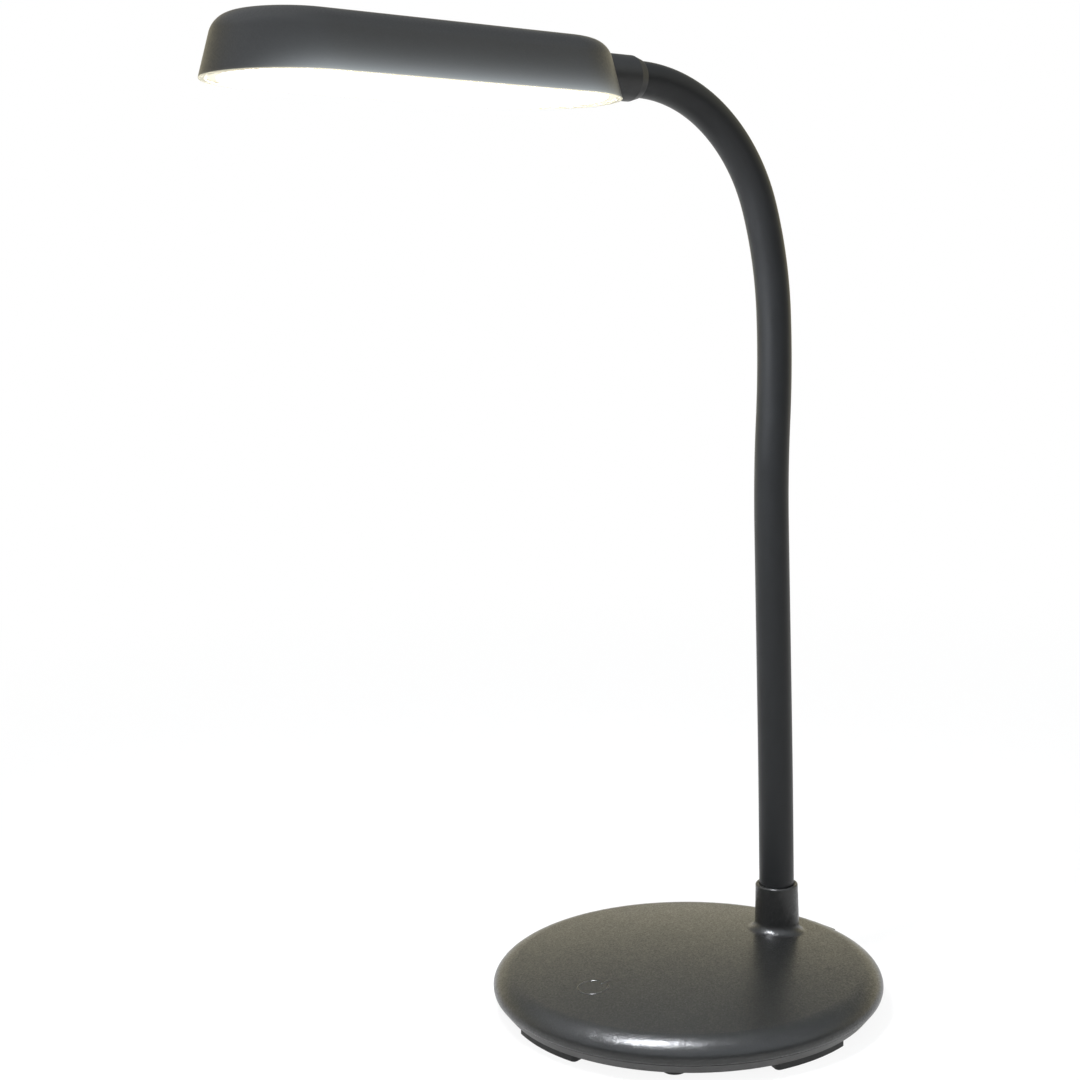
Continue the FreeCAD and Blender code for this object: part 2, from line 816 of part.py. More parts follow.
def led_connector():
    half = connector_w / 2
    return box(connector_x, connector_x + connector_l, -half, half, plate_top_z, plate_top_z + connector_h)


def led_strips():
    outer_y = head_half_w - lining
    inner_y = outer_y - strip_t
    left = box(strip_x0, strip_x1, inner_y, outer_y, guide_z, reflector_z)
    right = box(strip_x0, strip_x1, -outer_y, -inner_y, guide_z, reflector_z)
    return [left, right]


def leds():
    count = int((strip_x1 - strip_x0) / led_pitch)
    first = (strip_x0 + strip_x1 - (count - 1) * led_pitch) / 2
    y0 = head_half_w - guide_inset
    low = guide_z + guide_t / 8
    high = reflector_z - guide_t / 8
    found = []
    for s in (-1, 1):
        for k in range(count):
            x = first + k * led_pitch
            side = sorted((s * y0, s * (y0 + led_depth)))
            found.append(box(x - led_l / 2, x + led_l / 2, side[0], side[1], low, high))
    return found


base_nodes = {
    "base_top_cover": base_top_cover(),
    "neck_collar": neck_collar(),
    "base_bottom_cover": base_bottom_cover(),
    "ballast_plate": ballast_plate(),
    "arc_feet": arc_feet(),
    "round_feet": round_feet(),
    "cover_screws": cover_screws(),
    "ballast_screws": ballast_screws(),
    "neck_base_ferrule": neck_base_ferrule(),
    "neck_washer": neck_washer(),
    "neck_nut": neck_nut(),
    "dc_jack_housing": dc_jack_housing(),
    "dc_jack_pin": dc_jack_pin(),
    "dc_jack_contact": dc_jack_contact(),
    "control_board": control_board(),
    "board_chips": board_chips(),
    "board_screws": board_screws(),
    "touch_pad": touch_pad(),
    "touch_lead": touch_lead(),
    "jack_lead": jack_lead(),
}
head_nodes = {
    "head_shell": head_shell(),
    "head_socket": head_socket(),
    "head_ferrule": head_ferrule(),
    "neck_clamp": neck_clamp(),
    "clamp_screws": clamp_screws(),
    "back_plate": back_plate(),
    "plate_screws": plate_screws(),
    "led_connector": led_connector(),
    "reflector_sheet": slab(guide_inset, reflector_z, plate_z),
    "light_guide": slab(guide_inset, guide_z, reflector_z),
    "led_strips": led_strips(),
    "leds": leds(),
    "diffuser": slab(lining, diffuser_z, guide_z),
}


def save(name, shape):
    solids = shape if isinstance(shape, list) else [shape]
    body = Part.makeCompound(solids) if len(solids) > 1 else solids[0]
    body.exportStep("parts/" + name + ".step")
    count = len(body.Solids)
    print("%-20s solids %3d  volume %9.1f  valid %s" % (name, count, body.Volume, body.isValid()))


os.makedirs("parts", exist_ok=True)
for name, shape in base_nodes.items():
    save(name, shape)
for name, shape in head_nodes.items():
    pieces = shape if isinstance(shape, list) else [shape]
    save(name, [head_placed(p) for p in pieces])
for i in range(last + 1):
    save("neck_sleeve_%d" % i, neck_sleeve(i))
    save("neck_core_%d" % i, neck_core(i))
    save("neck_lead_%d" % i, neck_lead(i))
for i in range(1, last + 1):
    p = neck_starts[i]
    print("bend %d at X %.3f Z %.3f, tangent %.3f degrees from up" % (i, p.x, p.z, neck_angles[i]))
print("neck end at X %.3f Z %.3f, %.3f degrees from up" % (head_point.x, head_point.z, head_angle))
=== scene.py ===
# Gooseneck desk lamp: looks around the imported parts. Sizes are in millimetres, and meshes in metres.
import math
import bmesh
import bpy
import numpy as np
from mathutils import Matrix


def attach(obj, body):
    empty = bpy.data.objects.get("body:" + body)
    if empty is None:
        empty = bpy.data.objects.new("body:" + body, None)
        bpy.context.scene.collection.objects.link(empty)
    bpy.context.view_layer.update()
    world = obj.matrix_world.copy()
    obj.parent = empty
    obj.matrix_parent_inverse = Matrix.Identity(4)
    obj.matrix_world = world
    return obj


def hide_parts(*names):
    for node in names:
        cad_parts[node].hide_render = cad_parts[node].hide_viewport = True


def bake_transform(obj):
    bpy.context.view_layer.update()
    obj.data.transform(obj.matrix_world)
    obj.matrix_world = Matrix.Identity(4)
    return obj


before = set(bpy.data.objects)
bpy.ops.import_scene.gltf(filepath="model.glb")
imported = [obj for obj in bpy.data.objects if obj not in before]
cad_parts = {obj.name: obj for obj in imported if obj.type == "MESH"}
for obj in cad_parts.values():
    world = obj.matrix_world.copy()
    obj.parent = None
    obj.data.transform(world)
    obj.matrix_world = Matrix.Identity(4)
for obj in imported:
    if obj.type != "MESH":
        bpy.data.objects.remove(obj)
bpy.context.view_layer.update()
metre = 0.001  # one millimetre in metres


# Helpers

def linear(hexColour):
    # sRGB hex to linear, one formula for every colour
    parts = [int(hexColour[i:i + 2], 16) / 255 for i in (1, 3, 5)]
    return [c / 12.92 if c <= 0.04045 else ((c + 0.055) / 1.055) ** 2.4 for c in parts] + [1.0]


def gridFaces(rows, columns, wrapRows=False):
    # quads between neighbouring rows of a grid whose columns run round and close
    r = np.arange(rows if wrapRows else rows - 1)[:, None]
    c = np.arange(columns)[None, :]
    nextRow = (r + 1) % rows
    nextColumn = (c + 1) % columns
    return np.stack([r * columns + c, r * columns + nextColumn,
                     nextRow * columns + nextColumn, nextRow * columns + c], -1).reshape(-1, 4)


def meshPiece(name, points, faces, flatFaces=None):
    # points in millimetres, faces outwards; flatFaces marks the faces that stay flat
    mesh = bpy.data.meshes.new(name)
    mesh.from_pydata((points.reshape(-1, 3) * metre).tolist(), [], faces.tolist())
    smooth = np.ones(len(faces), bool)
    if flatFaces is not None:
        smooth[flatFaces] = False
    mesh.polygons.foreach_set("use_smooth", smooth)
    mesh.update()
    if flatFaces is not None:
        # a crease round every flat face keeps its neighbours' shading clean
        edgeOf = np.empty(len(mesh.loops), int)
        mesh.loops.foreach_get("edge_index", edgeOf)
        crease = np.zeros(len(mesh.edges), bool)
        crease[edgeOf.reshape(-1, 4)[flatFaces]] = True
        mesh.attributes.new("sharp_edge", "BOOLEAN", "EDGE").data.foreach_set("value", crease)
    piece = bpy.data.objects.new(name, mesh)
    bpy.context.scene.collection.objects.link(piece)
    return piece


def weld(piece):
    # joins the points where a grid closes on itself, and drops the faces left without area
    work = bmesh.new()
    work.from_mesh(piece.data)
    bmesh.ops.remove_doubles(work, verts=work.verts, dist=0.00002)
    bmesh.ops.dissolve_degenerate(work, edges=work.edges, dist=0.00001)
    bmesh.ops.recalc_face_normals(work, faces=work.faces)
    work.to_mesh(piece.data)
    work.free()
    piece.data.update()


def dress(piece, material):
    piece.data.materials.clear()
    piece.data.materials.append(material)
    return piece


def addNode(tree, kind, settings=None, links=None):
    # one shader node: settings are its attributes or input sockets, links are other nodes' outputs
    node = tree.nodes.new(kind)
    for key, value in (settings or {}).items():
        if key in node.inputs and not hasattr(node, key):
            node.inputs[key].default_value = value
        else:
            setattr(node, key, value)
    for key, output in (links or {}).items():
        tree.links.new(output, node.inputs[key])
    return node


# a colour mix node keeps its two colours and its result in these places
colourSockets = {"first": 6, "second": 7, "result": 2}


def mixed(tree, share, first, second):
    # goes from the first colour to the second with the share; each is sRGB hex or another node's output
    node = addNode(tree, "ShaderNodeMix", {"data_type": "RGBA"}, {"Factor": share})
    for place, colour in (("first", first), ("second", second)):
        socket = node.inputs[colourSockets[place]]
        if isinstance(colour, str):
            socket.default_value = linear(colour)
        else:
            tree.links.new(colour, socket)
    return node.outputs[colourSockets["result"]]


def ranged(tree, value, span, levels, kind="LINEAR"):
    # goes from the first level to the second as the value crosses the span
    settings = {"interpolation_type": kind, "From Min": span[0], "From Max": span[1],
                "To Min": levels[0], "To Max": levels[1]}
    return addNode(tree, "ShaderNodeMapRange", settings, {"Value": value}).outputs["Result"]


def between(tree, share, low, high):
    # goes from one node's output to another's with the share
    links = {"Value": share, "To Min": low, "To Max": high}
    return addNode(tree, "ShaderNodeMapRange", None, links).outputs["Result"]


def combined(tree, operation, first, second):
    # arithmetic on two nodes' outputs
    node = addNode(tree, "ShaderNodeMath", {"operation": operation}, {0: first, 1: second})
    return node.outputs["Value"]


def noise(tree, where, sizeMm, detail):
    # soft noise with lumps of about this size
    settings = {"Scale": 1 / metre / sizeMm, "Detail": detail}
    return addNode(tree, "ShaderNodeTexNoise", settings, {"Vector": where}).outputs["Fac"]


def attribute(tree, name):
    # a value that the mesh carries on its points
    return addNode(tree, "ShaderNodeAttribute", {"attribute_name": name}).outputs["Fac"]


def newMaterial(name):
    material = bpy.data.materials.new(name)
    material.use_nodes = True
    tree = material.node_tree
    shader = tree.nodes["Principled BSDF"]
    where = addNode(tree, "ShaderNodeTexCoord").outputs["Object"]
    return material, tree, shader, where


# Materials

noiseSpan = (0.3, 0.7)  # nearly all of a noise lies in this span
noiseDetail = {"grain": 2.0, "cloud": 3.0, "streak": 4.0, "mottle": 2.0}
grainSlope = 3  # a grain is this many times as wide as it is high


def leaningNormal(tree, where, look):
    # each cell of the grain leans its own way, so that a highlight breaks into bright specks
    cell = addNode(tree, "ShaderNodeTexVoronoi", {"Scale": 1 / metre / look["flakeMm"]}, {"Vector": where})
    lean = addNode(tree, "ShaderNodeVectorMath", {"operation": "MULTIPLY_ADD"}, {0: cell.outputs["Color"]})
    lean.inputs[1].default_value = (2 * look["flake"],) * 3
    lean.inputs[2].default_value = (-look["flake"],) * 3
    surface = addNode(tree, "ShaderNodeNewGeometry").outputs["Normal"]
    leant = addNode(tree, "ShaderNodeVectorMath", {"operation": "ADD"},
                    {0: surface, 1: lean.outputs["Vector"]})
    unit = addNode(tree, "ShaderNodeVectorMath", {"operation": "NORMALIZE"}, {0: leant.outputs["Vector"]})
    return unit.outputs["Vector"]


def satinPlastic(name, look):
    # moulded plastic or rubber with a satin skin: soft wide highlights, a slight cloudiness and a fine grain
    material, tree, shader, where = newMaterial(name)
    grain = noise(tree, where, look["grainMm"], noiseDetail["grain"])
    cloud = noise(tree, where, look["cloudMm"], noiseDetail["cloud"])
    relief = {"Strength": look["bump"], "Distance": look["grainMm"] * metre / grainSlope}
    bump = addNode(tree, "ShaderNodeBump", relief, {"Height": grain})
    if "flake" in look:
        tree.links.new(leaningNormal(tree, where, look), bump.inputs["Normal"])
    tree.links.new(mixed(tree, cloud, look["dark"], look["light"]), shader.inputs["Base Color"])
    tree.links.new(ranged(tree, cloud, noiseSpan, look["rough"]), shader.inputs["Roughness"])
    tree.links.new(bump.outputs["Normal"], shader.inputs["Normal"])
    shader.inputs["IOR"].default_value = look["ior"]
    return material


# the base and head have a spark-eroded skin, drawn coarser than the real one so that its sparkle shows
baseLook = {"dark": "#151514", "light": "#191918", "grainMm": 0.8, "cloudMm": 14.0, "rough": (0.28, 0.32),
            "bump": 0.05, "ior": 1.53, "flake": 0.06, "flakeMm": 0.5}
headLook = {"dark": "#1e1d1b", "light": "#22211f", "grainMm": 0.8, "cloudMm": 18.0, "rough": (0.34, 0.40),
            "bump": 0.05, "ior": 1.53, "flake": 0.04, "flakeMm": 0.5}
neckLook = {"dark": "#111213", "light": "#141516", "grainMm": 0.6, "cloudMm": 22.0, "rough": (0.38, 0.44),
            "bump": 0.12, "ior": 1.38}
underLook = {"dark": "#181818", "light": "#1d1d1c", "grainMm": 0.7, "cloudMm": 9.0, "rough": (0.42, 0.50),
             "bump": 0.3, "ior": 1.53}
blackLook = {"dark": "#0f0f0f", "light": "#141414", "grainMm": 0.5, "cloudMm": 5.0, "rough": (0.4, 0.5),
             "bump": 0.15, "ior": 1.53}
glossLook = {"dark": "#1c1c1b", "light": "#222221", "grainMm": 0.9, "cloudMm": 3.0, "rough": (0.06, 0.08),
             "bump": 0.02, "ior": 1.53}
footLook = {"dark": "#0d0d0d", "light": "#121212", "grainMm": 0.8, "cloudMm": 4.0, "rough": (0.55, 0.65),
            "bump": 0.3, "ior": 1.50}
leadLook = {"dark": "#101010", "light": "#161616", "grainMm": 0.8, "cloudMm": 6.0, "rough": (0.5, 0.6),
            "bump": 0.1, "ior": 1.50}
# painted light: the pale beige face colour with its glow, and the bluish glow up the wall, are painted to
# stand in for the light of the lit sheet on the lip and a glow of light spreading up the wall from the rim
paintedLipGlowLook = {"face": "#bdb69e", "faceGlow": 0.24, "broadGlow": 1.3, "spill": "#e6eff4", "spillGlow": 0.42}


def paintLipGlow(material, look):
    # painted light: the lip round the mouth gets a pale painted colour and an emitted glow, standing in for
    # the light of the lit sheet close by, and a painted bluish glow spreads up the outer wall from the rim
    tree = material.node_tree
    shader = tree.nodes["Principled BSDF"]
    face = attribute(tree, "lipFace")
    spill = attribute(tree, "lipSpill")
    plain = shader.inputs["Base Color"].links[0].from_socket
    tone = mixed(tree, face, plain, look["face"])
    colour = mixed(tree, face, look["spill"], look["face"])
    onFace = ranged(tree, spill, (0, 1), (look["faceGlow"], look["broadGlow"]))
    onWall = ranged(tree, spill, (0, 1), (0, look["spillGlow"]))
    tree.links.new(tone, shader.inputs["Base Color"])
    tree.links.new(colour, shader.inputs["Emission Color"])
    tree.links.new(between(tree, face, onWall, onFace), shader.inputs["Emission Strength"])
    return material


def plainMetal(name, look):
    # rolled, turned or plated metal: full metallic, with fine streaks in its roughness
    material, tree, shader, where = newMaterial(name)
    streak = noise(tree, where, look["streakMm"], noiseDetail["streak"])
    tree.links.new(mixed(tree, streak, look["dark"], look["light"]), shader.inputs["Base Color"])
    tree.links.new(ranged(tree, streak, noiseSpan, look["rough"]), shader.inputs["Roughness"])
    shader.inputs["Metallic"].default_value = 1.0
    return material


steelLook = {"dark": "#9a9c9e", "light": "#b4b6b8", "streakMm": 1.5, "rough": (0.28, 0.42)}
brassLook = {"dark": "#b99a52", "light": "#cfae62", "streakMm": 1.2, "rough": (0.22, 0.34)}
sheetLook = {"dark": "#c4c6c8", "light": "#d2d4d6", "streakMm": 3.0, "rough": (0.3, 0.4)}


def filmOrSheet(name, look):
    # white film, solder mask and LED resin: a faint mottle on a smooth skin
    material, tree, shader, where = newMaterial(name)
    mottle = noise(tree, where, look["mottleMm"], noiseDetail["mottle"])
    tree.links.new(mixed(tree, mottle, look["dark"], look["light"]), shader.inputs["Base Color"])
    shader.inputs["Roughness"].default_value = look["rough"]
    shader.inputs["IOR"].default_value = look["ior"]
    return material


filmLook = {"dark": "#ececea", "light": "#f4f4f2", "mottleMm": 4.0, "rough": 0.4, "ior": 1.5}
maskLook = {"dark": "#d8dad6", "light": "#e2e4e0", "mottleMm": 2.0, "rough": 0.35, "ior": 1.5}
resinLook = {"dark": "#e8d27a", "light": "#f0dd8a", "mottleMm": 0.8, "rough": 0.3, "ior": 1.5}

diffuserLook = {"lit": "#f6f9ff", "border": "#d9d0b8", "glow": 110.0, "borderGlow": 0.42, "borderMm": 4.2,
                "fadeMm": 0.9, "lineMm": 0.45, "lineGlow": 2.0, "rough": 0.35, "ior": 1.49}


def opalSheet(name, look):
    # opal acrylic over an edge-lit guide: white inside, a beige border beyond the guide, a bright cut edge
    material, tree, shader, where = newMaterial(name)
    edge = attribute(tree, "fromEdge")
    border = (look["borderMm"] - look["fadeMm"], look["borderMm"] + look["fadeMm"])
    middle = ranged(tree, edge, border, (0, 1), "SMOOTHSTEP")
    cut = addNode(tree, "ShaderNodeMath", {"operation": "LESS_THAN"}, {0: edge})
    cut.inputs[1].default_value = look["lineMm"]
    white = combined(tree, "MAXIMUM", middle, cut.outputs["Value"])
    tone = mixed(tree, white, look["border"], look["lit"])
    glow = ranged(tree, middle, (0, 1), (look["borderGlow"], look["glow"]))
    total = addNode(tree, "ShaderNodeMath", {"operation": "MULTIPLY_ADD"}, {0: cut.outputs["Value"], 2: glow})
    total.inputs[1].default_value = look["lineGlow"]
    tree.links.new(tone, shader.inputs["Base Color"])
    tree.links.new(tone, shader.inputs["Emission Color"])
    tree.links.new(total.outputs["Value"], shader.inputs["Emission Strength"])
    shader.inputs["Roughness"].default_value = look["rough"]
    shader.inputs["IOR"].default_value = look["ior"]
    return material


basePlastic = satinPlastic("satin_abs_base", baseLook)
headPlastic = satinPlastic("satin_abs_head", headLook)
# the shell's satin plastic with painted light: a pale glowing lip and a painted glow up the wall from the rim
shellPlastic = paintLipGlow(satinPlastic("satin_abs_shell_painted_lip_glow", headLook), paintedLipGlowLook)
glossPlastic = satinPlastic("polished_abs", glossLook)
neckRubber = satinPlastic("smooth_silicone_sleeve", neckLook)
underPlastic = satinPlastic("textured_abs_underside", underLook)
blackPlastic = satinPlastic("black_nylon", blackLook)
footRubber = satinPlastic("moulded_rubber_foot", footLook)
leadPlastic = satinPlastic("pvc_lead", leadLook)
zincSteel = plainMetal("zinc_plated_steel", steelLook)
turnedBrass = plainMetal("turned_brass", brassLook)
rolledAluminium = plainMetal("rolled_aluminium", sheetLook)
whiteFilm = filmOrSheet("white_reflector_film", filmLook)
solderMask = filmOrSheet("white_solder_mask", maskLook)
ledResin = filmOrSheet("led_resin", resinLook)
litOpal = opalSheet("lit_opal_acrylic", diffuserLook)
print("materials made")

nodeMaterials = {
    "base_top_cover": basePlastic, "neck_collar": basePlastic, "base_bottom_cover": underPlastic,
    "ballast_plate": zincSteel, "arc_feet": footRubber, "round_feet": footRubber,
    "cover_screws": zincSteel, "ballast_screws": zincSteel,
    "neck_base_ferrule": turnedBrass, "neck_washer": zincSteel, "neck_nut": zincSteel,
    "dc_jack_housing": basePlastic, "dc_jack_pin": turnedBrass, "dc_jack_contact": turnedBrass,
    "control_board": solderMask, "board_chips": blackPlastic, "board_screws": zincSteel,
    "touch_pad": turnedBrass, "touch_lead": leadPlastic, "jack_lead": leadPlastic,
    "head_shell": headPlastic, "head_socket": blackPlastic, "head_ferrule": turnedBrass,
    "neck_clamp": zincSteel, "clamp_screws": zincSteel,
    "back_plate": rolledAluminium, "plate_screws": zincSteel, "led_connector": blackPlastic,
    "reflector_sheet": whiteFilm, "light_guide": whiteFilm, "led_strips": solderMask,
    "leds": ledResin, "diffuser": litOpal}
neckCount = 9  # the neck is cut into this many lengths
for i in range(neckCount):
    nodeMaterials["neck_sleeve_%d" % i] = neckRubber
    nodeMaterials["neck_core_%d" % i] = zincSteel
    nodeMaterials["neck_lead_%d" % i] = leadPlastic
for nodeName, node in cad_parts.items():
    material = nodeMaterials[nodeName]
    for place in node.material_slots:
        place.material = material
print("CAD nodes dressed")


# Touch symbol

symbol = {"x": -47.5, "ringR": 5.85, "gapDeg": 46.0, "dashFrom": 3.95, "dashTo": 8.45,
          "halfWidth": 0.42, "halfHeight": 0.30, "proud": 0.14, "tipMm": 0.3,
          "ringSteps": 160, "dashSteps": 40, "columns": 14, "domeTopZ": 19.8, "domeR": 612.3}


def bead(name, x, y, sideX, sideY):
    # an oval bead that lies along (x, y) on the dome: centre + halfWidth * cos sideways
    # + halfHeight * sin upwards, with both measures shrinking to a point at its two ends
    run = np.concatenate([[0], np.cumsum(np.hypot(np.diff(x), np.diff(y)))])
    near = np.minimum(run, run[-1] - run) / symbol["tipMm"]
    swell = np.sqrt(1 - (1 - np.clip(near, 0, 1)) ** 2)[:, None]
    turn = np.linspace(0, 2 * np.pi, symbol["columns"], endpoint=False)
    across = symbol["halfWidth"] * swell * np.cos(turn)
    px = x[:, None] + across * sideX[:, None]
    py = y[:, None] + across * sideY[:, None]
    dome = symbol["domeTopZ"] - symbol["domeR"] + np.sqrt(symbol["domeR"] ** 2 - px ** 2 - py ** 2)
    pz = dome + symbol["proud"] - symbol["halfHeight"] + symbol["halfHeight"] * swell * np.sin(turn)
    rings = np.stack([px, py, pz], -1)
    piece = meshPiece(name, rings, gridFaces(rings.shape[0], rings.shape[1]))
    weld(piece)
    dress(piece, glossPlastic)
    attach(piece, "base")
    return piece


def touchSymbol():
    half = math.radians(symbol["gapDeg"] / 2)
    ends = half + symbol["halfWidth"] / symbol["ringR"]
    turn = np.linspace(ends, 2 * np.pi - ends, symbol["ringSteps"])
    bead("symbol_ring", symbol["x"] + symbol["ringR"] * np.cos(turn), symbol["ringR"] * np.sin(turn),
         np.cos(turn), np.sin(turn))
    run = np.linspace(symbol["dashFrom"], symbol["dashTo"], symbol["dashSteps"])
    zero = np.zeros(len(run))
    bead("symbol_dash", symbol["x"] + run, zero, zero, zero + 1)


touchSymbol()
print("touch symbol made")


# Neck

neck = {"x": 49.65, "coreFootZ": 17.6, "sleeveFootZ": 26.6, "firstBendZ": 62.0, "pitch": 42.0,
        "lastLength": 38.8, "turns": (0.0, 0.5, 0.1, -0.1, -4.7, 6.2, 15.6, 35.3, 35.35),
        "footR": 7.15, "headR": 6.65, "wall": 1.6, "footStraight": 16.0, "seat": 10.0, "seatGap": 0.3,
        "stepMm": 0.7, "leastRings": 8, "columns": 96, "blendFrom": 0.12}


def neckLengths():
    middle = [neck["pitch"]] * (neckCount - 2)
    return np.array([neck["firstBendZ"] - neck["coreFootZ"]] + middle + [neck["lastLength"]])


def neckStations():
    # start point and start angle of each length; an arc of constant curvature leads from one to the next
    points, angles = [np.array([neck["x"], neck["coreFootZ"]])], [0.0]
    for length, turn in zip(neckLengths(), neck["turns"]):
        points.append(neckArc(points[-1], angles[-1], turn / length, np.array([length]))[0])
        angles.append(angles[-1] + turn)
    return np.array(points), np.array(angles)


def neckArc(start, angle, rate, run):
    # points at distances run along an arc: start + run * sinc of half the turn, along the mean direction
    half = np.radians(rate * run) / 2
    mean = np.radians(angle) + half
    chord = run * np.sinc(half / np.pi)
    return start + chord[:, None] * np.stack([-np.sin(mean), np.cos(mean)], -1)


neckPoints, neckAngles = neckStations()
neckReach = np.concatenate([[0.0], np.cumsum(neckLengths())])
headPoint, headAngle = neckPoints[-1], math.radians(neckAngles[-1])


def neckLine(s):
    # centre line and tangent angle at distances s from the core's foot; past the end it runs on straight
    index = np.clip(np.searchsorted(neckReach, s, side="right") - 1, 0, neckCount - 1)
    run = np.minimum(s, neckReach[-1]) - neckReach[index]
    rate = np.array(neck["turns"])[index] / neckLengths()[index]
    x, z = neckArc(neckPoints[index], neckAngles[index], rate, run).T
    angle = np.radians(neckAngles[index]) + np.radians(rate * run)
    past = np.maximum(s - neckReach[-1], 0)
    return x - past * np.sin(angle), z + past * np.cos(angle), angle


def neckRings(s, radius):
    # circle of the given radius square to the centre line: centre + radius * (cos * outward + sin * sideways)
    x, z, angle = neckLine(s)
    turn = np.linspace(0, 2 * np.pi, neck["columns"], endpoint=False)
    along = radius[:, None] * np.cos(turn)
    return np.stack([x[:, None] + along * np.cos(angle)[:, None],
                     radius[:, None] * np.sin(turn),
                     z[:, None] + along * np.sin(angle)[:, None]], -1)


def sleevePiece(name, s0, s1):
    # a length of sleeve: outer wall up, inner wall back down, closed at both ends
    count = max(neck["leastRings"], int((s1 - s0) / neck["stepMm"]))
    s = np.linspace(s0, s1, count)
    outer = neck["footR"] + (neck["headR"] - neck["footR"]) * s / neckReach[-1]
    rings = np.concatenate([neckRings(s, outer), neckRings(s[::-1], outer[::-1] - neck["wall"])])
    rows = 2 * count
    faces = gridFaces(rows, neck["columns"], wrapRows=True)
    row = np.arange(rows).repeat(neck["columns"])
    piece = meshPiece(name, rings, faces, (row == count - 1) | (row == rows - 1))
    dress(piece, neckRubber)
    return piece


sleeveStart = neck["sleeveFootZ"] - neck["coreFootZ"]
middles = (neckReach[:-1] + neckReach[1:]) / 2
middles[0] = sleeveStart + neck["footStraight"]
foot = sleevePiece("sleeve_foot", sleeveStart, middles[0])
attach(foot, "base")
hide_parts("neck_sleeve_0")
for i in range(1, neckCount):
    piece = sleevePiece("sleeve_bend_%d" % i, middles[i - 1], middles[i])
    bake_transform(piece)
    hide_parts("neck_sleeve_%d" % i)
end = sleevePiece("sleeve_end", middles[-1], neckReach[-1] + neck["seat"] - neck["seatGap"])
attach(end, "head")
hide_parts("neck_sleeve_8")
print("neck made")


# Head

head = {"length": 157.8, "halfWidth": 30.1, "height": 20.6, "rearX": 15.8, "rimZ": -10.4, "topRound": 8.5,
        "draft": 5.4, "wall": 2.2, "endColumns": 72, "sideColumns": 60, "lipRound": 0.35,
        "lipHigh": 0.45, "lipFade": 0.25, "spillMm": 3.2, "spillEnds": 4}
profileSteps = {"under": 8, "inner": 12, "down": 6, "lip": 6, "side": 18, "outer": 28, "over": 14}


def headPlace(points):
    # from the head's own frame, x along it and z up from the neck's axis, to the lamp's frame
    x, y, z = points[..., 0], points[..., 1], points[..., 2]
    return np.stack([headPoint[0] - x * math.sin(headAngle) + z * math.cos(headAngle), y,
                     headPoint[1] + x * math.cos(headAngle) + z * math.sin(headAngle)], -1)


def stadiumColumns():
    # round the outline: a unit normal and the centre it is measured from, for each column
    end = head["endColumns"]
    side = head["sideColumns"]
    x0 = head["rearX"] + head["halfWidth"]
    x1 = head["rearX"] + head["length"] - head["halfWidth"]
    front = np.linspace(-np.pi / 2, np.pi / 2, end)
    rear = np.linspace(np.pi / 2, 3 * np.pi / 2, end)
    run = np.linspace(0, 1, side + 2)[1:-1]
    angle = np.concatenate([front, np.full(side, np.pi / 2), rear, np.full(side, -np.pi / 2)])
    centre = np.concatenate([np.full(end, x1), x1 + (x0 - x1) * run, np.full(end, x0), x0 + (x1 - x0) * run])
    return angle, centre


def stadiumRings(insets, heights):
    # each row is the outline moved in by its inset, at its height
    angle, centre = stadiumColumns()
    r = head["halfWidth"] - np.asarray(insets, float)[:, None]
    return np.stack([centre + r * np.cos(angle), r * np.sin(angle),
                     np.broadcast_to(np.asarray(heights, float)[:, None], (len(insets), len(angle)))], -1)


def broadside(sharpness):
    # 1 along the two straight sides, falling to 0 in the middle of each round end
    return np.abs(np.sin(stadiumColumns()[0])) ** sharpness


def arcCorner(corner, before, after, radius, count):
    # circular arc of the radius tangent to both straight sides that meet at the corner
    corner, before, after = (np.array(p, float) for p in (corner, before, after))
    u = (before - corner) / np.linalg.norm(before - corner)
    v = (after - corner) / np.linalg.norm(after - corner)
    half = math.acos(float(u @ v)) / 2
    middle = (u + v) / np.linalg.norm(u + v)
    centre = corner + middle * radius / math.sin(half)
    p = corner + u * radius / math.tan(half) - centre
    q = corner + v * radius / math.tan(half) - centre
    total = math.acos(float(p @ q) / radius ** 2)
    t = np.linspace(0, 1, count)[:, None] * total
    return centre + (p * np.sin(total - t) + q * np.sin(t)) / math.sin(total)


def shellProfile():
    # (inset, height) from the middle of the underside of the top, down the inside, round the lip,
    # up the outside and over the top
    rim, top = head["rimZ"], head["rimZ"] + head["height"]
    wall, draft = head["wall"], head["draft"]
    full = head["halfWidth"]
    steps = profileSteps
    innerTop = top - wall
    innerShoulder = wall + draft * (innerTop - rim) / head["height"]
    inner = arcCorner((innerShoulder, innerTop), (full, innerTop), (wall, rim), head["topRound"] - wall,
                      steps["inner"])
    lipIn = arcCorner((wall, rim), (innerShoulder, innerTop), (0, rim), head["lipRound"], steps["lip"])
    lipOut = arcCorner((0, rim), (wall, rim), (draft, top), head["lipRound"], steps["lip"])
    outer = arcCorner((draft, top), (0, rim), (full, top), head["topRound"], steps["outer"])
    side = np.linspace(lipOut[-1], outer[0], steps["side"])[1:-1]
    over = np.linspace(outer[-1], (full, top), steps["over"])[1:]
    under = np.linspace((full, innerTop), inner[0], steps["under"])[:-1]
    down = np.linspace(inner[-1], lipIn[0], steps["down"])[1:-1]
    return np.concatenate([under, inner, down, lipIn, lipOut, side, outer, over])


def carry(piece, name, values):
    # puts one value on each point of the mesh, for the material to read
    data = piece.data.attributes.new(name, "FLOAT", "POINT").data
    data.foreach_set("value", values.ravel().astype(np.float32))


